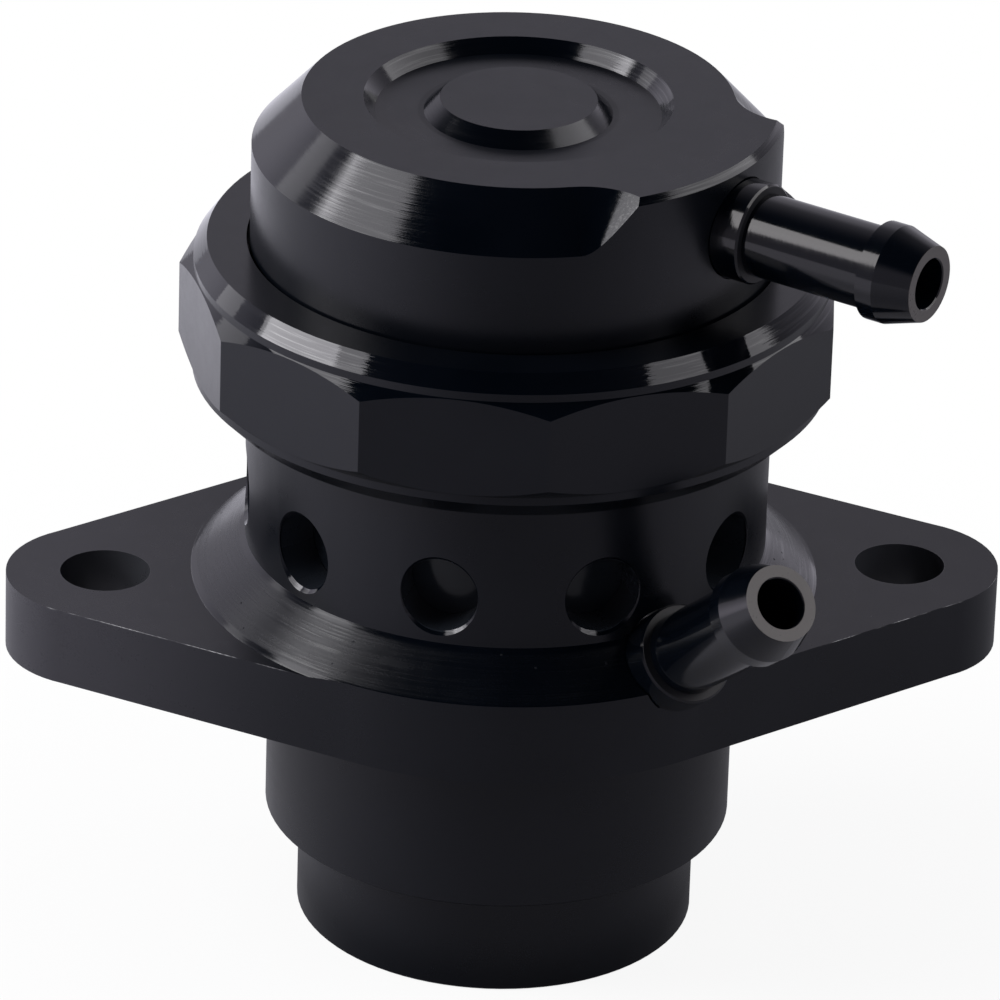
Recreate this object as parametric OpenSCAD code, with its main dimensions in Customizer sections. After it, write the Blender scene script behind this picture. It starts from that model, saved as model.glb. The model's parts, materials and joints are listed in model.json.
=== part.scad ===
// Blow off valve: a spring-loaded piston in a vented barrel, on a two-bolt flange with a plug-in snout.
// Millimetres. The origin is on the valve axis at the underside of the flange, +Z points up to the cap,
// +X runs along the line of the bolt holes and the front faces -Y. Azimuths are counted from the front
// towards +X.

/* [Flange] */
// Distance between the centres of the two bolt holes
bolt_spacing = 62; // [58:0.5:76]
// Diameter of each bolt hole
bolt_hole_d = 7; // [5:0.1:9]
// Radius of the rounded flange ends
flange_end_r = 7.7; // [6.5:0.1:10]
// Radius of the flange round the valve axis
flange_mid_r = 24; // [22.5:0.1:26]
// Thickness of the flange
flange_t = 6.25; // [5:0.05:9]

/* [Snout] */
// Radius of the wide step of the snout, next to the flange
snout_r = 18.2; // [17.5:0.1:20]
// Length of the wide step
snout_len = 13.9; // [10:0.1:20]
// Radius of the narrow step at the end of the snout
spigot_r = 15.55; // [14.5:0.05:17]
// Length of the narrow step
spigot_len = 8.8; // [6:0.1:14]
// Radius of the air inlet through the snout
inlet_r = 12.5; // [10:0.1:13]
// Bevel round the mouth of the inlet
inlet_bevel = 0.8; // [0.3:0.1:1.2]
// Break on the outer edges of both steps
snout_break = 0.15; // [0.1:0.05:0.4]

/* [Barrel] */
// Outer radius of the vented barrel
barrel_r = 20.25; // [19.5:0.05:21]
// Radius of the flare at its foot
flare_r = 24.35; // [22.5:0.05:26]
// Height of the flare above the flange
flare_h = 3.36; // [2.5:0.02:5]
// Height of the barrel between the flare and the clamp ring
neck_h = 12.6; // [11.6:0.1:18]
// Width of the valve seat, from the inlet to the piston bore
seat_w = 4.5; // [3.7:0.1:5.3]
// Height of the valve seat above the upper face of the flange
seat_rise = 2.75; // [2:0.05:3.5]
// Radius of the threaded head that the clamp ring screws on
head_r = 21.9; // [21.4:0.1:22.8]
// Depth of the head inside the mouth of the clamp ring
head_inset = 0.5; // [0.3:0.1:1.5]

/* [Vents] */
// Number of vents in the row
vent_count = 10; // [6:1:10]
// Diameter of each vent
vent_d = 6; // [4:0.1:6.4]
// Break round the mouth of each vent
vent_break = 0.3; // [0.1:0.05:0.4]
// Height of the vents' lower edge above the flare
vent_gap = 0.9; // [0.6:0.1:1.5]
// Turn of the row from the middle of the front
vent_turn = -1; // [-6:0.5:6]

/* [Clamp ring] */
// Number of wrench flats
ring_flats = 11; // [8:1:12]
// Wall of the ring at its turned bands, above and below the flats
ring_wall = 2.5; // [2:0.05:2.7]
// Height of the corners between the flats above those bands
ring_corner = 1.1; // [1.05:0.05:3]
// Turn of the corner nearest the front
ring_turn = 1.85; // [-15:0.05:15]
// Height of the ring
ring_h = 12.06; // [11:0.02:15]
// Height of each turned band
ring_band_h = 0.62; // [0.3:0.02:1]
// Height over which each corner is cut back
ring_corner_h = 1.05; // [0.6:0.05:1.6]
// Width of the upper bevel
ring_top_in = 1; // [0.5:0.05:1.6]
// Height of the upper bevel
ring_top_bevel = 1.36; // [0.8:0.02:1.8]
// Width of the lower bevel
ring_foot_in = 1.55; // [0.6:0.05:1.8]
// Height of the lower bevel
ring_foot_bevel = 1.55; // [0.8:0.05:1.8]
// Thickness of the lip that holds the cap down
ring_lip_t = 2.26; // [1.8:0.02:3]

/* [Cap] */
// Outer radius of the cap
cap_r = 20.22; // [19.8:0.02:21]
// Height of the cap above the clamp ring
cap_rise = 11.84; // [11:0.02:16]
// Thickness of the shoulder under the ring's lip
shoulder_t = 3; // [2.5:0.1:4]
// Radius of the top face inside the bevel
cap_top_r = 16.5; // [15:0.1:18]
// Height of the bevel
cap_bevel_h = 4; // [3:0.1:5]
// Azimuth of the middle of the stretch that keeps its full radius
cap_land_azimuth = 50; // [40:0.5:60]
// Half the angle of that stretch
cap_land_half = 27; // [22:0.5:40]
// Radius of the bevel cutter at the top face, which shapes both run-outs
cutter_r = 5.2; // [4.4:0.1:8]
// Edge break round the full-radius stretch
cap_edge = 0.5; // [0.2:0.05:0.8]
// Outer radius of the dish in the top face
dish_r = 11.8; // [10.5:0.1:13]
// Radius of the dish's floor
dish_floor_r = 10.9; // [9.5:0.1:12]
// Depth of the dish
dish_depth = 1.1; // [0.6:0.05:1.6]
// Radius of the boss in the middle of the dish
boss_r = 6; // [4:0.1:7]
// Radius of the boss at its foot
boss_foot_r = 7.2; // [5:0.1:8.5]
// Radius of the signal chamber under the cap
chamber_r = 14.5; // [13.6:0.1:15.5]
// Thickness from the top face to the chamber
cap_roof_t = 2.9; // [2.5:0.1:3.2]

/* [Piston] */
// Lift of the piston from its seat to the cap
piston_lift = 8; // [7:0.1:9]
// Wall of the piston's cup
piston_wall = 3.95; // [3:0.05:5]
// Thickness of the piston's floor
piston_floor = 3.1; // [2.6:0.1:4]
// Hollow in the underside of the piston
piston_hollow = 0.8; // [0.4:0.1:1.2]
// Width of the flat rim between that hollow and the edge of the inlet
hollow_rim = 1; // [0.5:0.1:2]
// Height of the land above the piston seal
seal_land = 1.7; // [1.2:0.1:2]
// Cord diameter of the piston seal
piston_cord = 1.3; // [1:0.05:1.6]
// Distance of the seat seal from the edge of the inlet
seat_seal_inset = 0.7; // [0.4:0.1:1]
// Width of the seat seal's ring
seat_seal_w = 2.2; // [1.5:0.1:2.8]
// Depth of the seat seal's groove
seat_seal_depth = 1.2; // [0.8:0.1:1.6]
// Height by which the seat seal stands proud of the piston
seat_seal_proud = 0.3; // [0.1:0.05:0.5]

/* [Spring] */
// Mean radius of the return spring
spring_r = 9.2; // [8.6:0.1:11]
// Diameter of the spring wire
wire_d = 2; // [1.5:0.1:2.4]
// Number of turns that work, without the closed turn at each end
spring_turns = 6; // [4:1:8]
// Height of the pegs that keep the spring in the middle
peg_h = 2; // [1:0.1:3]
// Gap between a closed turn and the next one
coil_gap = 0.1; // [0.05:0.05:0.2]

/* [Hose nipples] */
// Azimuth of the nipple on the cap
upper_azimuth = 52; // [45:0.5:56]
// Depth of the upper nipple's axis under the top face
upper_drop = 5.2; // [4.9:0.05:6]
// Azimuth of the nipple on the flare
lower_azimuth = 31; // [28:0.5:36]
// Pitch of the lower nipple above the horizontal
lower_pitch = 39; // [36:0.5:44]
// Radius of the hole through a nipple
nipple_bore_r = 1.95; // [1.4:0.05:2.2]
// Radius of the hose tube
tube_r = 3.2; // [2.9:0.01:3.4]
// Radius of the barb's crest
crest_r = 3.8; // [3.5:0.01:4]
// Length of the barb's crest
crest_land = 1.4; // [0.6:0.1:2]
// Length of the barb
barb_len = 4.2; // [4:0.1:7]
// Radius of the barb at its tip
tip_r = 2.95; // [2.7:0.05:3.2]
// Length from the collar to the tip
nipple_len = 14.5; // [12:0.1:24]
// Radius of the collar
collar_r = 3.9; // [3.9:0.05:4.2]
// Length of the collar
collar_len = 2.5; // [1.4:0.1:3]
// Bevel at the front of the collar
collar_bevel = 0.16; // [0.1:0.01:0.5]
// Radius of the threaded stem
stem_r = 2.95; // [2.7:0.05:3.1]
// Length of the threaded stem
stem_len = 4.2; // [3:0.1:4.6]
// Edge break inside the tip
mouth_break = 0.1; // [0.05:0.05:0.3]
// Depth of the flat that a nipple's collar sits on
spot_depth = 0.5; // [0.45:0.05:0.8]

/* [Fits] */
// Clearance of the piston in its bore
running_gap = 0.05; // [0.02:0.01:0.1]
// Clearance between a thread and its hole
thread_gap = 0.1; // [0.05:0.05:0.2]
// Clearance of the clamp ring's lip round the cap
lip_gap = 0.25; // [0.1:0.05:0.4]
// Clearance between the lifted piston and the cap
stop_gap = 0.2; // [0.1:0.05:0.4]
// Clearance between the spring and the pegs inside it
peg_gap = 0.5; // [0.3:0.1:0.8]
// Clearance beside an O-ring in its groove
groove_gap = 0.5; // [0.3:0.1:0.7]
// Clearance round a spring or a seal in its seat
seat_gap = 0.02; // [0.01:0.01:0.05]
// Break on turned edges
edge_break = 0.4; // [0.2:0.05:0.6]
// Cord diameter of the cap seal
cap_cord = 1.35; // [1:0.05:1.8]

/* [Hidden] */
$fn = 96;

// Cuts run past the faces they break through by this much
over = 1;
// The straight flange sides dip this far into the round parts, so that they cross them cleanly
side_dip = 0.02;
// Sides of a round cord
cord_sides = 32;

// Heights along the valve axis
snout_bottom = -snout_len - spigot_len;
seat_z = flange_t + seat_rise;
flare_top = flange_t + flare_h;
vent_z = flare_top + vent_gap + vent_d / 2;
ring_bottom = flare_top + neck_h;
ring_top = ring_bottom + ring_h;
head_bottom = ring_bottom + head_inset;
shoulder_top = ring_top - ring_lip_t;
head_top = shoulder_top - shoulder_t;
cap_top = ring_top + cap_rise;
cap_roof = cap_top - cap_roof_t;
cap_bevel_z = cap_top - cap_bevel_h;

// Piston and its seals
bore_r = inlet_r + seat_w;
piston_r = bore_r - running_gap;
piston_bottom = seat_z + seat_seal_proud;
piston_top = head_top - piston_lift - stop_gap;
piston_floor_z = piston_bottom + piston_floor;
cup_r = piston_r - piston_wall;
seal_groove_w = piston_cord + groove_gap;
seal_groove_r = piston_r - piston_cord;
seal_groove_top = piston_top - seal_land;
seat_seal_r = inlet_r + seat_seal_inset;
seat_seal_out = seat_seal_r + seat_seal_w;
peg_r = spring_r - wire_d / 2 - peg_gap;

// Cap seal, midway in the face of the head
cap_groove_w = cap_cord + groove_gap;
cap_groove_r = (bore_r + head_r - cap_groove_w) / 2;

// Clamp ring round the head
ring_bore = max(head_r, barrel_r) + thread_gap;
ring_band_r = ring_bore + ring_wall;
ring_corner_r = ring_band_r + ring_corner;

// Nipples: the distance from the valve axis to the seat of each collar
upper_z = cap_top - upper_drop;
upper_seat = cap_r - spot_depth;
flare_mid_r = (flare_r + barrel_r) / 2;
lower_z = flange_t + flare_h / 2 - flare_mid_r * tan(lower_pitch);
lower_seat = flare_mid_r / cos(lower_pitch) - spot_depth;

black = "#1b1b1e";
dark_grey = "#3c3d40";
rubber = "#101011";
steel = "#9a9c9f";

// Points local +Z outwards from the valve axis
module outwards(azimuth, pitch, height) {
    translate([0, 0, height])
        rotate([0, 90 - pitch, azimuth - 90])
            children();
}

// A ring of round cord round the valve axis
module cord_ring(inner_r, cord, bottom) {
    rotate_extrude()
        translate([inner_r + cord / 2, bottom + cord / 2])
            circle(d = cord, $fn = cord_sides);
}

// Flange seen from above: a round middle, two round ends and straight sides
module flange_outline() {
    half = bolt_spacing / 2;
    lean = (flange_mid_r - flange_end_r) / half;
    rise = sqrt(1 - lean * lean);
    mid = (flange_mid_r - side_dip) * [lean, rise];
    end = [half, 0] + (flange_end_r - side_dip) * [lean, rise];
    circle(flange_mid_r);
    for (side = [-1, 1])
        translate([side * half, 0])
            circle(flange_end_r);
    polygon([
        [end.x, -end.y], end, mid, [-mid.x, mid.y],
        [-end.x, end.y], -end, -mid, [mid.x, -mid.y]
    ]);
}

// Hole for a nipple's stem, the air passage behind it and the flat for its collar
module nipple_port(seat, passage_start) {
    translate([0, 0, passage_start])
        cylinder(r = nipple_bore_r, h = seat - passage_start);
    translate([0, 0, seat - stem_len - thread_gap])
        cylinder(r = stem_r + thread_gap / 2, h = stem_len + thread_gap + over);
    translate([0, 0, seat])
        cylinder(r = collar_r + thread_gap, h = collar_len + over);
}

// Snout, barrel and head as one turned shape
module body_turning() {
    rotate_extrude()
        polygon([
            [0, snout_bottom], [spigot_r - snout_break, snout_bottom],
            [spigot_r, snout_bottom + snout_break], [spigot_r, -snout_len],
            [snout_r - snout_break, -snout_len], [snout_r, snout_break - snout_len],
            [snout_r, flange_t / 2], [barrel_r, flange_t / 2], [barrel_r, head_bottom],
            [head_r, head_bottom], [head_r, head_top - edge_break],
            [head_r - edge_break, head_top], [0, head_top]
        ]);
}

// Inlet, valve seat and piston bore
module body_cavity() {
    mouth_r = inlet_r + inlet_bevel;
    rotate_extrude()
        polygon([
            [0, snout_bottom - over], [mouth_r + over, snout_bottom - over],
            [inlet_r, snout_bottom + inlet_bevel], [inlet_r, seat_z], [bore_r, seat_z],
            [bore_r, head_top - edge_break], [bore_r + edge_break + over, head_top + over],
            [0, head_top + over]
        ]);
    rotate_extrude()
        translate([cap_groove_r, head_top - cap_cord])
            square([cap_groove_w, cap_cord + over]);
}

// Vent through the barrel, broken at its outer edge
module vent() {
    translate([0, 0, bore_r - over])
        cylinder(d = vent_d, h = barrel_r - bore_r + 2 * over);
    translate([0, 0, barrel_r - vent_break])
        cylinder(r1 = vent_d / 2, r2 = vent_d / 2 + vent_break + over, h = vent_break + over);
}

module valve_body() {
    color(black)
        difference() {
            union() {
                linear_extrude(flange_t)
                    flange_outline();
                intersection() {
                    translate([0, 0, flange_t])
                        cylinder(r1 = flare_r, r2 = barrel_r, h = flare_h);
                    linear_extrude(flare_top + over)
                        flange_outline();
                }
                body_turning();
            }
            body_cavity();
            for (side = [-1, 1])
                translate([side * bolt_spacing / 2, 0, -over])
                    cylinder(d = bolt_hole_d, h = flange_t + 2 * over);
            for (i = [0 : vent_count - 1])
                outwards(vent_turn + (i + 0.5) * 360 / vent_count, 0, vent_z)
                    vent();
            outwards(lower_azimuth, lower_pitch, lower_z)
                nipple_port(lower_seat, (inlet_r - over) / cos(lower_pitch));
        }
}

// Ring nut: a turned ring with wrench flats milled on it
module clamp_ring() {
    slope = ring_corner_h / ring_corner;
    blank_r = ring_corner_r + over;
    blank_rise = (blank_r - ring_band_r) * slope;
    band_top = ring_top - ring_top_bevel;
    band_bottom = ring_bottom + ring_foot_bevel;
    lip_r = cap_r + lip_gap;
    color(black)
        intersection() {
            rotate_extrude()
                polygon([
                    [ring_bore, ring_bottom], [ring_band_r - ring_foot_in, ring_bottom],
                    [ring_band_r, band_bottom],
                    [ring_band_r, band_bottom + ring_band_h],
                    [blank_r, band_bottom + ring_band_h + blank_rise],
                    [blank_r, band_top - ring_band_h - blank_rise],
                    [ring_band_r, band_top - ring_band_h], [ring_band_r, band_top],
                    [ring_band_r - ring_top_in, ring_top], [lip_r, ring_top],
                    [lip_r, shoulder_top], [ring_bore, shoulder_top]
                ]);
            translate([0, 0, ring_bottom - over])
                rotate(ring_turn - 90)
                    cylinder(r = ring_corner_r, h = ring_h + 2 * over, $fn = ring_flats);
        }
}

// Bevel round the cap, which runs out at both ends of the full-radius stretch
module cap_bevel_cut() {
    slope = cap_bevel_h / (cap_r - cap_top_r);
    path_r = cap_top_r + cutter_r;
    run_out = acos((path_r ^ 2 + cap_r ^ 2 - cutter_r ^ 2) / (2 * path_r * cap_r));
    half = cap_land_half + run_out;
    below = over / 2;
    tip = cutter_r - side_dip - (cap_r - cap_top_r) - below;
    rotate(cap_land_azimuth - 90 + half)
        rotate_extrude(angle = 360 - 2 * half)
            polygon([
                [cap_top_r - over, cap_top + over * slope], [cap_r + over, cap_bevel_z - over * slope],
                [cap_r + over, cap_top + over * slope]
            ]);
    for (side = [-1, 1])
        rotate(cap_land_azimuth - 90 + side * half)
            translate([path_r, 0, cap_bevel_z - slope * below])
                cylinder(r1 = tip, r2 = cutter_r - side_dip + over, h = cap_bevel_h + slope * (below + over));
}

module top_cap() {
    shoulder_r = head_r - thread_gap / 2;
    dish_z = cap_top - dish_depth;
    color(black)
        difference() {
            rotate_extrude()
                polygon([
                    [chamber_r, head_top], [shoulder_r, head_top], [shoulder_r, shoulder_top],
                    [cap_r, shoulder_top], [cap_r, cap_top - cap_edge], [cap_r - cap_edge, cap_top],
                    [dish_r, cap_top], [dish_floor_r, dish_z], [boss_foot_r, dish_z],
                    [boss_r, cap_top], [0, cap_top], [0, cap_roof - peg_h],
                    [peg_r, cap_roof - peg_h], [peg_r, cap_roof], [chamber_r, cap_roof]
                ]);
            cap_bevel_cut();
            outwards(upper_azimuth, 0, upper_z)
                nipple_port(upper_seat, chamber_r - over);
        }
}

// O-ring between the head and the cap
module cap_seal() {
    color(rubber)
        cord_ring(cap_groove_r + seat_gap, cap_cord - seat_gap, head_top - cap_cord);
}

// Cup that closes the inlet and covers the vents
module piston() {
    hollow_r = inlet_r - hollow_rim;
    groove_bottom = seal_groove_top - seal_groove_w;
    seat_groove_z = piston_bottom + seat_seal_depth;
    color(dark_grey)
        rotate_extrude()
            polygon([
                [0, piston_bottom + piston_hollow], [hollow_r - piston_hollow, piston_bottom + piston_hollow],
                [hollow_r, piston_bottom], [seat_seal_r, piston_bottom], [seat_seal_r, seat_groove_z],
                [seat_seal_out, seat_groove_z], [seat_seal_out, piston_bottom],
                [piston_r - edge_break, piston_bottom], [piston_r, piston_bottom + edge_break],
                [piston_r, groove_bottom], [seal_groove_r, groove_bottom],
                [seal_groove_r, seal_groove_top], [piston_r, seal_groove_top],
                [piston_r, piston_top - edge_break], [piston_r - edge_break, piston_top],
                [cup_r, piston_top], [cup_r, piston_floor_z], [peg_r, piston_floor_z],
                [peg_r, piston_floor_z + peg_h], [0, piston_floor_z + peg_h]
            ]);
}

// O-ring round the piston, above the vents
module piston_seal() {
    color(rubber)
        cord_ring(seal_groove_r, piston_cord, seal_groove_top - seal_groove_w / 2 - piston_cord / 2);
}

// Flat rubber ring that closes on the valve seat
module seat_seal() {
    color(rubber)
        translate([0, 0, seat_z])
            rotate_extrude()
                translate([seat_seal_r, 0])
                    square([seat_seal_w, seat_seal_proud + seat_seal_depth]);
}

// Compression spring with one closed turn at each end, swept along its own helix
module return_spring() {
    wire_sides = 8;
    turn_steps = 20;
    turns = spring_turns + 2;
    bottom = piston_floor_z + seat_gap + wire_d / 2;
    top = cap_roof - seat_gap - wire_d / 2;
    closed = wire_d + coil_gap;
    pitch = (top - bottom - 2 * closed) / spring_turns;
    function climb(turn) = bottom
        + closed * min(turn, 1)
        + pitch * min(max(turn - 1, 0), spring_turns)
        + closed * max(turn - 1 - spring_turns, 0);
    rings = turns * turn_steps;
    points = [
        for (ring = [0 : rings], side = [0 : wire_sides - 1])
            let (
                turn = ring / turn_steps,
                across = spring_r + wire_d / 2 * cos(side * 360 / wire_sides),
                up = wire_d / 2 * sin(side * 360 / wire_sides)
            )
            [across * cos(turn * 360), across * sin(turn * 360), climb(turn) + up]
    ];
    walls = [
        for (ring = [0 : rings - 1], side = [0 : wire_sides - 1])
            let (next = (side + 1) % wire_sides, here = ring * wire_sides, ahead = here + wire_sides)
            [here + side, here + next, ahead + next, ahead + side]
    ];
    first = [for (side = [wire_sides - 1 : -1 : 0]) side];
    last = [for (side = [0 : wire_sides - 1]) rings * wire_sides + side];
    color(steel)
        polyhedron(points, concat(walls, [first, last]));
}

// Hose nipple along +Z: threaded stem, collar on the seat at zero, tube and barb
module nipple() {
    tip = collar_len + nipple_len;
    barb = tip - barb_len;
    color(black)
        rotate_extrude()
            polygon([
                [nipple_bore_r, -stem_len], [stem_r, -stem_len], [stem_r, 0], [collar_r, 0],
                [collar_r, collar_len - collar_bevel], [collar_r - collar_bevel, collar_len],
                [tube_r, collar_len], [tube_r, barb], [crest_r, barb], [crest_r, barb + crest_land],
                [tip_r, tip], [nipple_bore_r + mouth_break, tip],
                [nipple_bore_r, tip - mouth_break]
            ]);
}

module upper_nipple() {
    outwards(upper_azimuth, 0, upper_z)
        translate([0, 0, upper_seat])
            nipple();
}

module lower_nipple() {
    outwards(lower_azimuth, lower_pitch, lower_z)
        translate([0, 0, lower_seat])
            nipple();
}

valve_body();
clamp_ring();
top_cap();
cap_seal();
piston();
piston_seal();
seat_seal();
return_spring();
upper_nipple();
lower_nipple();
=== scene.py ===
import json
import math

import bpy
from mathutils import Matrix, Vector


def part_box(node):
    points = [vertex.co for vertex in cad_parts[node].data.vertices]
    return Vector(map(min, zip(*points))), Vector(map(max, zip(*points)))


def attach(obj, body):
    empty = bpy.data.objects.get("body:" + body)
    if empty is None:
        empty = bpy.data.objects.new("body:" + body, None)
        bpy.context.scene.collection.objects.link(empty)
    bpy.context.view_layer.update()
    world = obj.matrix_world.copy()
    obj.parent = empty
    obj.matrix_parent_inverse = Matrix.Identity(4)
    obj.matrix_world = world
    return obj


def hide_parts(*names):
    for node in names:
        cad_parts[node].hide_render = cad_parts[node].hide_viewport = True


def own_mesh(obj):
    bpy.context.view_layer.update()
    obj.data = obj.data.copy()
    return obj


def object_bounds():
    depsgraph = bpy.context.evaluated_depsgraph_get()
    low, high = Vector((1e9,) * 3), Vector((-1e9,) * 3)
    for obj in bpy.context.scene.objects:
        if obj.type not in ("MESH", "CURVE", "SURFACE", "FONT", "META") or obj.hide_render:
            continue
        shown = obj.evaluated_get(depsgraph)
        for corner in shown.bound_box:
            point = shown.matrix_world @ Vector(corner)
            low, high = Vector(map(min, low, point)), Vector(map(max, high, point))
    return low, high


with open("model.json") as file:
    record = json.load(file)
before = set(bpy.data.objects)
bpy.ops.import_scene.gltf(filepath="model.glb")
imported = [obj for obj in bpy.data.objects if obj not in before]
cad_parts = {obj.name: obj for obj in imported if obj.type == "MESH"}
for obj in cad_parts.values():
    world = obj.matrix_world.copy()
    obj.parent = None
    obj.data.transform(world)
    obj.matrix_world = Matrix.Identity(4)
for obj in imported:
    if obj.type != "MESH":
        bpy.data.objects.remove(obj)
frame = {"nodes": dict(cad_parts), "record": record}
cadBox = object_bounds()
nodes = frame["nodes"]
mounts = {mount["name"]: mount for mount in frame["record"]["mounts"]}
mm = 0.001
print("frame loaded,", len(nodes), "nodes")


def feed(tree, socket, item):
    if isinstance(item, Value):
        tree.links.new(item.socket, socket)
    else:
        socket.default_value = item


class Value:
    # a socket that takes part in Python expressions
    def __init__(self, tree, socket):
        self.tree = tree
        self.socket = socket

    def math(self, operation, *items):
        node = self.tree.nodes.new("ShaderNodeMath")
        node.operation = operation
        for socket, item in zip(node.inputs, items):
            feed(self.tree, socket, item)
        return Value(self.tree, node.outputs[0])

    def __add__(self, other):
        return self.math("ADD", self, other)

    def __sub__(self, other):
        return self.math("SUBTRACT", self, other)

    def __mul__(self, other):
        return self.math("MULTIPLY", self, other)

    def __truediv__(self, other):
        return self.math("DIVIDE", self, other)

    def __pow__(self, other):
        return self.math("POWER", self, other)

    def __rsub__(self, other):
        return self.math("SUBTRACT", other, self)

    __radd__ = __add__
    __rmul__ = __mul__


def lengthOf(x, y):
    return (x * x + y * y) ** 0.5


class Finish:
    # one material or world and the nodes in it
    def __init__(self, name, owner=None):
        self.owner = owner or bpy.data.materials.new(name)
        self.owner.use_nodes = True
        self.tree = self.owner.node_tree

    def add(self, kind, settings=None, inputs=None, out=0):
        node = self.tree.nodes.new(kind)
        for key, value in (settings or {}).items():
            setattr(node, key, value)
        for key, item in (inputs or {}).items():
            feed(self.tree, node.inputs[key], item)
        if isinstance(out, tuple):
            return [Value(self.tree, node.outputs[key]) for key in out]
        return Value(self.tree, node.outputs[out])

    def place(self):
        # where the surface is, in millimetres
        point = self.add("ShaderNodeTexCoord", out="Object")
        inputs = {"Vector": point, "Scale": 1 / mm}
        scaled = self.add("ShaderNodeVectorMath", {"operation": "SCALE"}, inputs)
        return self.add("ShaderNodeSeparateXYZ", inputs={0: scaled}, out=("X", "Y", "Z"))

    def facingUp(self):
        normal = self.add("ShaderNodeNewGeometry", out="Normal")
        return self.add("ShaderNodeSeparateXYZ", inputs={0: normal}, out="Z")

    def rise(self, value, low, high):
        # 0 below low, 1 above high
        inputs = {"Value": value, "From Min": low, "From Max": high}
        return self.add("ShaderNodeMapRange", {"interpolation_type": "SMOOTHSTEP"}, inputs)

    def band(self, value, low, high, soft):
        # 1 between low and high, with soft ends inside them
        return self.rise(value, low, low + soft) * (1 - self.rise(value, high - soft, high))

    def noise(self, x, y, z, w=0.0, detail=2.0, rough=0.5):
        vector = self.add("ShaderNodeCombineXYZ", inputs={"X": x, "Y": y, "Z": z})
        inputs = {"Vector": vector, "W": w, "Scale": 1.0, "Detail": detail, "Roughness": rough}
        return self.add("ShaderNodeTexNoise", {"noise_dimensions": "4D"}, inputs, "Fac")

    def evenNoise(self, spot, scale, w=0.0, detail=2.0, rough=0.5):
        x, y, z = [part * scale for part in spot]
        return self.noise(x, y, z, w, detail, rough)

    def turnedLines(self, spot, radius, look):
        # fine lines round the valve's axis
        x, y, z = spot
        pitch, length = look["linesPerMm"], look["lineLength"]
        return self.noise(radius * pitch, z * pitch, x * length, y * length, look["lineDetail"], 0.6)

    def mix(self, share, first, second):
        return self.add("ShaderNodeMix", {"data_type": "RGBA"}, {0: share, 6: first, 7: second}, 2)

    def specks(self, spot, spacing, size, share):
        # a few tiny dots, the rest of the cells stay empty
        vector = self.add("ShaderNodeCombineXYZ", inputs=dict(zip("XYZ", spot)))
        inputs = {"Vector": vector, "Scale": 1 / spacing}
        distance, colour = self.add("ShaderNodeTexVoronoi", inputs=inputs, out=("Distance", "Color"))
        lot = self.add("ShaderNodeSeparateColor", inputs={0: colour}, out="Red")
        dots = 1 - self.rise(distance, 0.5 * size / spacing, size / spacing)
        return dots * self.rise(lot, 1 - share, 1.001 - share)

    def bump(self, height, depth):
        inputs = {"Height": height, "Distance": depth * mm}
        return self.add("ShaderNodeBump", inputs=inputs, out="Normal")

    def shade(self, inputs):
        shader = self.tree.nodes["Principled BSDF"]
        for key, item in inputs.items():
            feed(self.tree, shader.inputs[key], item)
        return self.owner


# black anodised aluminium, turned round the valve's axis; lengths in millimetres
anodise = dict(
    dark=(0.0006, 0.0013, 0.0027, 1),
    pale=(0.0013, 0.0021, 0.0038, 1),
    dust=(0.40, 0.40, 0.41, 1),
    specular=0.255,
    tint=(0.96, 0.94, 1.0, 1),
    coneFrom=(0.25, 0.45),      # a bevel, by how far its normal points up
    coneTo=(0.88, 0.96),
    rough=0.30,
    coneRough=0.11,
    linesPerMm=6.5,
    lineLength=0.14,
    lineDetail=2.0,
    lineRough=0.14,
    lineShare=0.3,              # of lineRough on the walls, and 1 more on the bevels
    wallDepth=0.0015,
    coneDepth=0.005,
    streaks=0.30,               # bright lines on the bevels, which end towards the left
    streakFrom=(0.48, 0.70),
    streakEnd=(0.78, 0.90),
    streakRough=0.10,
    cloudScale=0.09,
    cloudFrom=(0.35, 0.65),
    cloudRough=0.10,
    smudgeScale=0.55,
    smudgeRough=0.10,
    grainScale=7.0,
    grainRough=0.08,
    dustSpacing=3.1,
    dustSize=0.075,
    dustShare=0.07,
)


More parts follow.
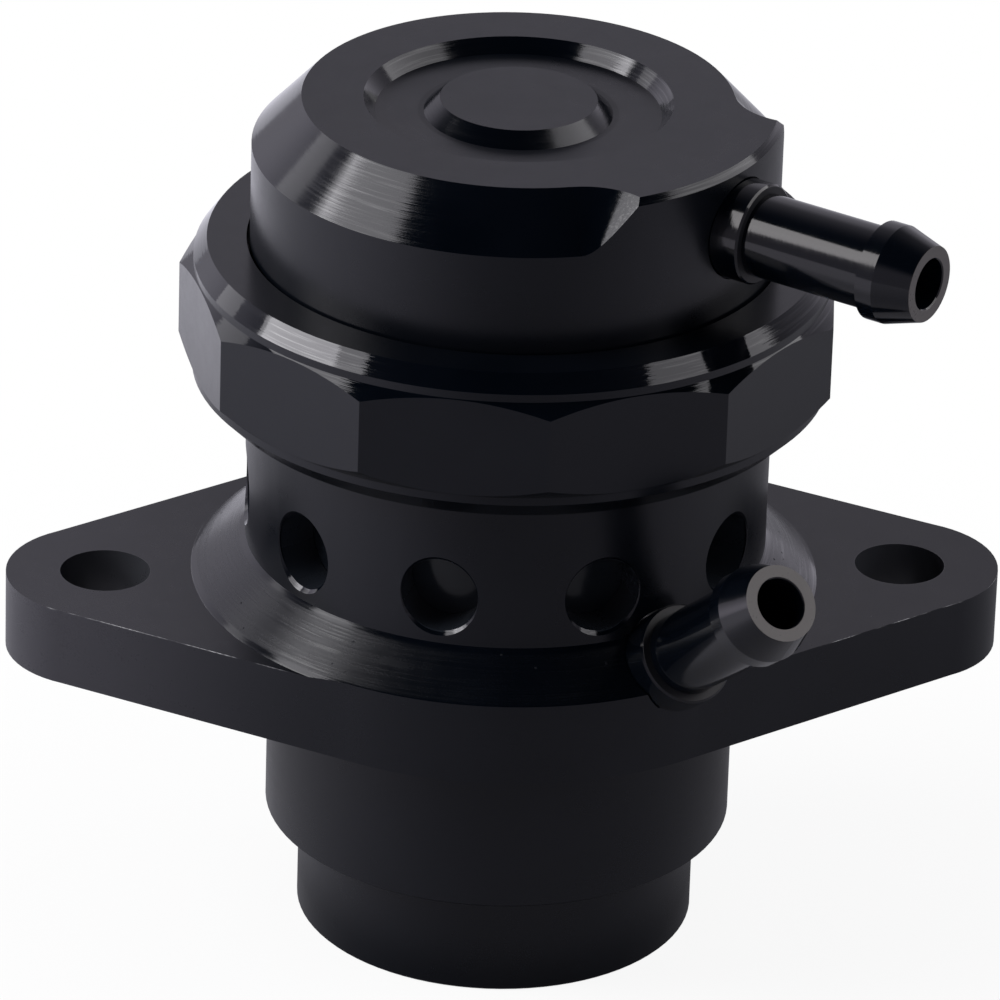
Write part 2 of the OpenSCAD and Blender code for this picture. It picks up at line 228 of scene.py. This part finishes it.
def anodisedFinish(name, marksAndPaintedLight=None, dull=None, lean=None):
    finish = Finish(name)
    spot = finish.place()
    x, y, z = spot
    radius = lengthOf(x, y)
    up = finish.facingUp()
    cone = finish.rise(up, *anodise["coneFrom"]) * (1 - finish.rise(up, *anodise["coneTo"]))
    lines = finish.turnedLines(spot, radius, anodise)
    cloud = finish.evenNoise(spot, anodise["cloudScale"])
    smudge = finish.evenNoise(spot, anodise["smudgeScale"], 4.0, 3.0, 0.6)
    grain = finish.evenNoise(spot, anodise["grainScale"])
    dust = finish.specks(spot, anodise["dustSpacing"], anodise["dustSize"], anodise["dustShare"])
    rough = anodise["rough"] + (anodise["coneRough"] - anodise["rough"]) * cone
    rough = rough + (lines - 0.5) * anodise["lineRough"] * (anodise["lineShare"] + cone)
    rough = rough + (cloud - 0.5) * anodise["cloudRough"] + (smudge - 0.5) * anodise["smudgeRough"]
    rough = rough + (grain - 0.5) * anodise["grainRough"]
    if dull:
        rough = rough + dull(finish, spot, radius)
    colour = finish.mix(finish.rise(cloud, *anodise["cloudFrom"]), anodise["dark"], anodise["pale"])
    colour = finish.mix(dust, colour, anodise["dust"])
    # the body's marks, with painted light on the flange's left end, in the bolt holes and along the
    # flange's upper edge
    if marksAndPaintedLight:
        colour = marksAndPaintedLight(finish, spot, radius, up, colour)
    height = lines * (anodise["wallDepth"] + (anodise["coneDepth"] - anodise["wallDepth"]) * cone)
    streaks = finish.rise(lines, *anodise["streakFrom"]) * cone
    streaks = streaks * (1 - finish.rise((0 - x) / radius, *anodise["streakEnd"]))
    if lean:
        tilt, leaning = lean(finish, spot, radius)
        height = height + tilt * cone
        streaks = streaks * (1 - leaning)
    return finish.shade({
        "Base Color": colour,
        "Roughness": rough,
        "Specular IOR Level": anodise["specular"],
        "Specular Tint": anodise["tint"],
        "Coat Weight": streaks * anodise["streaks"],
        "Coat Roughness": anodise["streakRough"],
        "Normal": finish.bump(height, 1.0),
    })


# the body's marks and painted light; a pair gives where a mark fades in or out, in millimetres or by the
# normal
bodyWearAndPaintedLight = dict(
    bareAndHighlight=(0.34, 0.34, 0.35, 1),         # nicks along the flange's upper edge, where the black has come off, and a painted highlight along that edge on its left and right parts
    edgeFoot=(6.17, 6.21),
    edgeTop=(6.26, 6.28),
    edgeUp=(0.5, 0.9),
    leftStart=(17.5, 19.5),
    leftEnd=(35.5, 35.8),
    rightStart=(23.0, 25.0),
    aroundHole=(4.2, 4.4),
    patchScale=0.42,
    patchFrom=(0.40, 0.62),
    chipScale=2.6,
    chipFrom=(0.35, 0.60),
    chipShare=0.65,
    paintedLight=(0.028, 0.0275, 0.033, 1),     # painted light on the flange's left end, less on its top
    paintedLightRun=(15.0, 40.0),
    paintedLightFoot=(-0.1, 0.0),
    paintedLightTop=(6.30, 6.35),
    paintedLightUp=(0.3, 0.6),
    paintedLightDrop=0.3,
    paintedHoleLight=(0.024, 0.025, 0.029, 1),    # painted light on the walls of the bolt holes, and a lighter black in the vents
    holeAt=31.0,
    holeWall=(3.55, 3.57),
    ventColour=(0.010, 0.012, 0.016, 1),
    ventLow=8.5,
    ventHigh=18.5,
    ventSoft=0.1,
    ventWall=(20.0, 20.05),
)


# bare nicks along the flange's upper edge, together with a painted highlight along that edge
def flangeNicksAndHighlight(finish, x, y, z, up, fromHole):
    nicksAndHighlight = finish.rise(z, *bodyWearAndPaintedLight["edgeFoot"]) * (1 - finish.rise(z, *bodyWearAndPaintedLight["edgeTop"]))
    nicksAndHighlight = nicksAndHighlight * (1 - finish.rise(up, *bodyWearAndPaintedLight["edgeUp"]))
    nicksAndHighlight = nicksAndHighlight * finish.rise(fromHole, *bodyWearAndPaintedLight["aroundHole"])
    left = finish.rise(0 - x, *bodyWearAndPaintedLight["leftStart"]) * (1 - finish.rise(0 - x, *bodyWearAndPaintedLight["leftEnd"]))
    nicksAndHighlight = nicksAndHighlight * (left + finish.rise(x, *bodyWearAndPaintedLight["rightStart"]))
    patchScale, chipScale, share = [bodyWearAndPaintedLight[key] for key in ("patchScale", "chipScale", "chipShare")]
    patches = finish.rise(finish.noise(x * patchScale, y * patchScale, 1.3), *bodyWearAndPaintedLight["patchFrom"])
    chips = finish.rise(finish.noise(x * chipScale, y * chipScale, 7.1), *bodyWearAndPaintedLight["chipFrom"])
    return nicksAndHighlight * patches * (1 - share + share * chips)


# the body's marks, and painted light on the flange's left end, in the bolt holes and along the flange's
# upper edge
def bodyMarksAndPaintedLight(finish, spot, radius, up, colour):
    x, y, z = spot
    fromHole = lengthOf(x.math("ABSOLUTE", x) - bodyWearAndPaintedLight["holeAt"], y)
    # painted light on the flange's left end, from its foot to its top edge, less where it faces up
    paintedLight = finish.rise(0 - x, *bodyWearAndPaintedLight["paintedLightRun"]) * finish.rise(z, *bodyWearAndPaintedLight["paintedLightFoot"])
    paintedLight = paintedLight * (1 - finish.rise(z, *bodyWearAndPaintedLight["paintedLightTop"]))
    paintedLight = paintedLight * (1 - finish.rise(up, *bodyWearAndPaintedLight["paintedLightUp"]) * bodyWearAndPaintedLight["paintedLightDrop"])
    # painted light on the walls of the bolt holes
    inHole = 1 - finish.rise(fromHole, *bodyWearAndPaintedLight["holeWall"])
    inVent = finish.band(z, bodyWearAndPaintedLight["ventLow"], bodyWearAndPaintedLight["ventHigh"], bodyWearAndPaintedLight["ventSoft"])
    inVent = inVent * (1 - finish.rise(radius, *bodyWearAndPaintedLight["ventWall"]))
    colour = finish.mix(paintedLight, colour, bodyWearAndPaintedLight["paintedLight"])
    colour = finish.mix(inHole, colour, bodyWearAndPaintedLight["paintedHoleLight"])
    colour = finish.mix(inVent, colour, bodyWearAndPaintedLight["ventColour"])
    return finish.mix(flangeNicksAndHighlight(finish, x, y, z, up, fromHole), colour, bodyWearAndPaintedLight["bareAndHighlight"])


# the flare over the flange is duller than the bevels and has small pits
flareLook = dict(low=6.5, high=9.4, soft=0.2, dull=0.15, spacing=0.9, size=0.13, share=0.22, pit=0.6)


def dullFlare(finish, spot, radius):
    band = finish.band(spot[2], flareLook["low"], flareLook["high"], flareLook["soft"])
    dots = finish.specks(spot, flareLook["spacing"], flareLook["size"], flareLook["share"])
    return band * (flareLook["dull"] + dots * flareLook["pit"])


# on its outside the ring is smoother than the turned walls
ringLook = dict(outside=(20, 20.1), dull=-0.07)


def dullRing(finish, spot, radius):
    return finish.rise(radius, *ringLook["outside"]) * ringLook["dull"]


# the boss has a duller slope, and its reflections lean to the right
bossLook = dict(slopeFrom=5.9, slopeTo=7.7, soft=0.1, dull=0.07, lean=-0.16)


def dullBoss(finish, spot, radius):
    slope = finish.band(radius, bossLook["slopeFrom"], bossLook["slopeTo"], bossLook["soft"])
    return slope * bossLook["dull"]


def leanBoss(finish, spot, radius):
    boss = 1 - finish.rise(radius, bossLook["slopeTo"] - bossLook["soft"], bossLook["slopeTo"])
    return boss * spot[0] * bossLook["lean"], boss


# the nipples are turned round their own axis; lengths along it are from the middle of the barb's crest
nippleLook = dict(
    rough=0.10,
    specular=0.36,
    tint=(1.0, 0.965, 0.985, 1),
    linesPerMm=5.0,
    lineLength=0.1,
    lineDetail=3.0,
    lineRough=0.14,
    lineDepth=0.002,
    cloudScale=0.3,
    grainScale=5.0,
    tip=(0.041, 0.036, 0.034, 1),       # the tip's worn end face
    tipFrom=(3.46, 3.49),
    tipLeast=0.75,
    tipGrain=0.5,
    tipRough=0.2,
    collarFrom=-11.03,                  # the collar's dull front face
    collarTo=-10.96,
    collarSoft=0.02,
    collarDull=0.45,
)


def nippleFinish(name, mountName):
    mount = mounts[mountName]
    finish = Finish(name)
    spot = finish.place()
    x, y, z = spot
    a, b, c = mount["axis"]
    px, py, pz = [part / mm for part in mount["pos_m"]]
    along = (x - px) * a + (y - py) * b + (z - pz) * c
    length = nippleLook["lineLength"]
    lines = finish.noise(along * nippleLook["linesPerMm"], x * length, y * length, z * length,
                         nippleLook["lineDetail"], 0.6)
    cloud = finish.evenNoise(spot, nippleLook["cloudScale"])
    grain = finish.evenNoise(spot, nippleLook["grainScale"])
    worn = finish.rise(along, *nippleLook["tipFrom"])
    worn = worn * (nippleLook["tipLeast"] + nippleLook["tipGrain"] * grain)
    collar = finish.band(along, nippleLook["collarFrom"], nippleLook["collarTo"], nippleLook["collarSoft"])
    rough = nippleLook["rough"] + (lines - 0.5) * nippleLook["lineRough"]
    rough = rough + worn * nippleLook["tipRough"] + collar * nippleLook["collarDull"]
    colour = finish.mix(cloud, anodise["dark"], anodise["pale"])
    return finish.shade({
        "Base Color": finish.mix(worn, colour, nippleLook["tip"]),
        "Roughness": rough,
        "Specular IOR Level": nippleLook["specular"],
        "Specular Tint": nippleLook["tint"],
        "Normal": finish.bump(lines, nippleLook["lineDepth"]),
    })


# hard anodised piston, seen through the vents and from below
pistonLook = dict(dark=(0.005, 0.0065, 0.0092, 1), pale=(0.0080, 0.0098, 0.0132, 1), rough=0.16,
                  linesPerMm=4.0, lineLength=0.05, lineDetail=3.0, lineRough=0.12, lineDepth=0.002,
                  sockets={"Specular IOR Level": 0.25})

# drawn spring wire
springLook = dict(dark=(0.30, 0.30, 0.31, 1), pale=(0.52, 0.52, 0.53, 1), rough=0.32,
                  linesPerMm=9.0, lineLength=0.2, lineDetail=3.0, lineRough=0.25, lineDepth=0.003,
                  sockets={"Metallic": 1.0})


def linedFinish(name, look):
    finish = Finish(name)
    spot = finish.place()
    lines = finish.turnedLines(spot, lengthOf(spot[0], spot[1]), look)
    return finish.shade({
        "Base Color": finish.mix(lines, look["dark"], look["pale"]),
        "Roughness": look["rough"] + (lines - 0.5) * look["lineRough"],
        "Normal": finish.bump(lines, look["lineDepth"]),
        **look["sockets"],
    })


# O-rings and the seat ring
rubberLook = dict(dark=(0.006, 0.006, 0.006, 1), pale=(0.016, 0.016, 0.017, 1), rough=0.62,
                  grainScale=6.0, grainRough=0.3, grainDepth=0.01)


def rubberFinish():
    finish = Finish("seal rubber")
    grain = finish.evenNoise(finish.place(), rubberLook["grainScale"], 0.0, 4.0, 0.6)
    return finish.shade({
        "Base Color": finish.mix(grain, rubberLook["dark"], rubberLook["pale"]),
        "Roughness": rubberLook["rough"] + (grain - 0.5) * rubberLook["grainRough"],
        "Normal": finish.bump(grain, rubberLook["grainDepth"]),
    })


def dress(name, material):
    mesh = nodes[name].data
    mesh.materials.clear()
    mesh.materials.append(material)


dress("valve_body", anodisedFinish("body anodise", marksAndPaintedLight=bodyMarksAndPaintedLight, dull=dullFlare))
dress("clamp_ring", anodisedFinish("ring anodise", dull=dullRing))
dress("top_cap", anodisedFinish("cap anodise", dull=dullBoss, lean=leanBoss))
dress("upper_nipple", nippleFinish("upper nipple anodise", "upper_hose_barb"))
dress("lower_nipple", nippleFinish("lower nipple anodise", "lower_hose_barb"))
dress("piston", linedFinish("piston hard anodise", pistonLook))
sealRubber = rubberFinish()
for sealName in ("cap_seal", "piston_seal", "seat_seal"):
    dress(sealName, sealRubber)
springWire = linedFinish("spring wire", springLook)
dress("return_spring", springWire)
print("finishes on")


# round wire for the spring, closed at both ends, in millimetres
springForm = dict(radius=9.2, wire=2.0, closedPitch=2.1, workingTurns=6, stepsPerTurn=40, roundSteps=16,
                  mergeGap=0.002, smoothAngle=40)


def deselectAll():
    for item in bpy.context.selected_objects:
        item.select_set(False)


def coil(start, pitch, turns):
    deselectAll()
    bpy.ops.mesh.primitive_circle_add(
        vertices=springForm["roundSteps"], radius=springForm["wire"] / 2 * mm,
        location=(springForm["radius"] * mm, 0, start * mm), rotation=(math.pi / 2, 0, 0))
    bpy.ops.object.transform_apply(location=True, rotation=True, scale=True)
    stretch = bpy.context.object
    screw = stretch.modifiers.new("turns", "SCREW")
    screw.angle = 2 * math.pi
    screw.screw_offset = pitch * mm
    screw.iterations = turns
    screw.steps = screw.render_steps = springForm["stepsPerTurn"]
    bpy.ops.object.modifier_apply(modifier=screw.name)
    return stretch


def makeSpring():
    low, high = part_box("return_spring")
    wire, closed, turns = springForm["wire"], springForm["closedPitch"], springForm["workingTurns"]
    bottom, top = low.z / mm + wire / 2, high.z / mm - wire / 2
    stretches = [
        coil(bottom, closed, 1),
        coil(bottom + closed, (top - bottom - 2 * closed) / turns, turns),
        coil(top - closed, closed, 1),
    ]
    for stretch in stretches:
        stretch.select_set(True)
    bpy.context.view_layer.objects.active = stretches[0]
    bpy.ops.object.join()
    spring = bpy.context.object
    spring.name = "springWire"
    bpy.ops.object.mode_set(mode="EDIT")
    bpy.ops.mesh.select_all(action="SELECT")
    bpy.ops.mesh.remove_doubles(threshold=springForm["mergeGap"] * mm)
    bpy.ops.mesh.fill_holes(sides=0)    # the wire's two cut ends
    bpy.ops.mesh.select_all(action="SELECT")
    bpy.ops.mesh.normals_make_consistent(inside=False)
    bpy.ops.object.mode_set(mode="OBJECT")
    bpy.ops.object.shade_smooth_by_angle(angle=math.radians(springForm["smoothAngle"]))
    spring.data.materials.clear()
    spring.data.materials.append(springWire)
    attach(spring, "valve")
    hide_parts("return_spring")
    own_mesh(spring)


makeSpring()
print("spring wound")


def directionOf(azimuth, elevation):
    # azimuth from the front towards the right, in degrees
    a, e = math.radians(azimuth), math.radians(elevation)
    return Vector((math.sin(a) * math.cos(e), -math.cos(a) * math.cos(e), math.sin(e)))


def tinted(finish, camera, level, tint):
    # white where the camera looks straight at it, a tinted level for all else
    red, green, blue = [camera + (1 - camera) * level * part for part in tint]
    return finish.add("ShaderNodeCombineColor", inputs={"Red": red, "Green": green, "Blue": blue})


# white floor, clear from below; lengths in millimetres
floorLook = dict(
    radius=1500,
    corners=96,
    drop=0.02,                      # under the valve's foot
    colour=(0.86, 0.86, 0.86, 1),
    shadowShare=0.10,               # how much of the floor's own shading shows near the valve
    shadowReach=(25, 100),
    mirror=0.34,                    # how bright it glows in the valve's reflections, before the painted light and shade of each side
    tint=(1.0, 0.987, 1.10),
    far=(60, 150),
    sharpness=4,
    foot=(17, 25),                  # painted shade close to the valve's foot, in the valve's reflections
    footShare=0.4,
)

# painted light and shade that each side adds to the floor's glow in the valve's reflections, close by and
# far off
floorSidesPaintedLight = [
    dict(azimuth=-75, near=0.36, far=0.95),
    dict(azimuth=-150, near=0.0, far=0.86),
    dict(azimuth=72, near=0.0, far=0.36),
    dict(azimuth=125, near=-0.16, far=-0.02),
]


# the floor's glow in the valve's reflections: painted pools of light towards the sides and painted shade
# round the valve's foot
def paintedFloorLight(finish, x, y, out):
    level = floorLook["mirror"]
    far = finish.rise(out, *floorLook["far"])
    for side in floorSidesPaintedLight:
        away = directionOf(side["azimuth"], 0)
        along = (x * away.x + y * away.y) / out
        share = along.math("MAXIMUM", along, 0.0) ** floorLook["sharpness"]
        level = level + share * (side["near"] + (side["far"] - side["near"]) * far)
    footShare = floorLook["footShare"]
    return level * (footShare + (1 - footShare) * finish.rise(out, *floorLook["foot"]))


def floorFinish():
    finish = Finish("floor white")
    x, y, z = finish.place()
    out = lengthOf(x, y) + 0.001    # never zero
    rays = ("Is Camera Ray", "Is Glossy Ray", "Is Transmission Ray")
    camera, glossy, through = finish.add("ShaderNodeLightPath", out=rays)
    shown = camera.math("MAXIMUM", camera, camera.math("MAXIMUM", glossy, through))
    plain = 1 - floorLook["shadowShare"] * (1 - finish.rise(out, *floorLook["shadowReach"]))
    white = tinted(finish, camera, paintedFloorLight(finish, x, y, out), floorLook["tint"])
    diffuse = finish.add("ShaderNodeBsdfDiffuse", inputs={"Color": floorLook["colour"]})
    glow = finish.add("ShaderNodeEmission", inputs={"Color": white, "Strength": 1.0})
    both = finish.add("ShaderNodeMixShader", inputs={0: shown * plain, 1: diffuse, 2: glow})
    below = finish.add("ShaderNodeNewGeometry", out="Backfacing")
    clear = finish.add("ShaderNodeBsdfTransparent")
    seen = finish.add("ShaderNodeMixShader", inputs={0: below, 1: both, 2: clear})
    feed(finish.tree, finish.tree.nodes["Material Output"].inputs["Surface"], seen)
    return finish.owner


def makeFloor():
    deselectAll()
    bpy.ops.mesh.primitive_circle_add(
        vertices=floorLook["corners"], radius=floorLook["radius"] * mm, fill_type="NGON",
        location=(0, 0, cadBox[0].z - floorLook["drop"] * mm))
    floor = bpy.context.object
    floor.name = "floor"
    floor.data.materials.append(floorFinish())


# walls of the room up to wallTop, by the sine of the elevation, and a dark ceiling over them
room = dict(wall=0.38, ceiling=0.005, wallTop=(0.44, 0.72), tint=(1.03, 0.995, 1.13))

# light that the room throws back beside and behind the valve
bounces = [
    dict(azimuth=180, elevation=40, strength=0.34, sharpness=8),
    dict(azimuth=-133, elevation=12, strength=1.05, sharpness=14),
    dict(azimuth=-92, elevation=4, strength=1.9, sharpness=40),
    dict(azimuth=130, elevation=13, strength=0.15, sharpness=20),
    dict(azimuth=148, elevation=3, strength=0.55, sharpness=25),
]


def makeRoom():
    world = bpy.data.worlds.new("studio")
    bpy.context.scene.world = world
    finish = Finish("studio", world)
    direction = finish.add("ShaderNodeTexCoord", out="Generated")
    height = finish.add("ShaderNodeSeparateXYZ", inputs={0: direction}, out="Z")
    camera = finish.add("ShaderNodeLightPath", out="Is Camera Ray")
    level = room["wall"] + (room["ceiling"] - room["wall"]) * finish.rise(height, *room["wallTop"])
    for bounce in bounces:
        inputs = {0: direction, 1: directionOf(bounce["azimuth"], bounce["elevation"])}
        along = finish.add("ShaderNodeVectorMath", {"operation": "DOT_PRODUCT"}, inputs, "Value")
        level = level + along.math("MAXIMUM", along, 0.0) ** bounce["sharpness"] * bounce["strength"]
    background = finish.tree.nodes["Background"]
    feed(finish.tree, background.inputs["Color"], tinted(finish, camera, level, room["tint"]))
    feed(finish.tree, background.inputs["Strength"], 1.0)


# soft boxes, all aimed at the same point from the same distance, in metres and watts
boxAim = dict(height=0.012, distance=0.60)
softBoxes = [
    dict(name="left soft box", azimuth=-86.3, elevation=34.5, width=0.385, height=0.403, power=2.95),
    dict(name="left soft box middle", azimuth=-90, elevation=31, width=0.27, height=0.19, power=1.22),
    dict(name="rear left panel", azimuth=-123, elevation=22, width=0.107, height=0.255, power=0.16),
    dict(name="right soft box", azimuth=88, elevation=36, width=0.638, height=0.277, power=1.75),
]


def makeLights():
    middle = Vector((0, 0, boxAim["height"]))
    for box in softBoxes:
        lamp = bpy.data.lights.new(box["name"], "AREA")
        lamp.shape = "RECTANGLE"
        lamp.size, lamp.size_y = box["width"], box["height"]
        lamp.energy = box["power"]
        light = bpy.data.objects.new(box["name"], lamp)
        bpy.context.scene.collection.objects.link(light)
        light.visible_camera = False
        outward = directionOf(box["azimuth"], box["elevation"])
        light.location = middle + outward * boxAim["distance"]
        light.rotation_euler = outward.to_track_quat("Z", "Y").to_euler()


# camera of the photograph: lengths in metres, lens and sensor in millimetres
view = dict(azimuth=-5.196, elevation=26.355, roll=1.883, distance=0.69378, lens=322.15, sensor=36,
            side=0.000612, height=0.011996, aimLeft=0.0010657, aimUp=0.0001024, clip=(0.05, 10))


def makeCamera():
    back = directionOf(view["azimuth"], view["elevation"])
    a, roll = math.radians(view["azimuth"]), math.radians(view["roll"])
    level = Vector((math.cos(a), math.sin(a), 0))
    upright = back.cross(level)
    right = level * math.cos(roll) + upright * math.sin(roll)
    above = upright * math.cos(roll) - level * math.sin(roll)
    target = level * view["side"] + Vector((0, 0, view["height"]))
    place = target + back * view["distance"]
    look = (target - right * view["aimLeft"] + above * view["aimUp"] - place).normalized()
    right = (right - look * right.dot(look)).normalized()
    turn = Matrix((right, right.cross(look), -look)).transposed()
    lens = bpy.data.cameras.new("camera")
    lens.sensor_width = view["sensor"]
    lens.lens = view["lens"]
    lens.clip_start, lens.clip_end = view["clip"]
    camera = bpy.data.objects.new("camera", lens)
    bpy.context.scene.collection.objects.link(camera)
    camera.matrix_world = Matrix.Translation(place) @ turn.to_4x4()
    bpy.context.scene.camera = camera


makeFloor()
makeRoom()
makeLights()
makeCamera()
bpy.context.scene.view_settings.view_transform = "Standard"
print("studio ready")
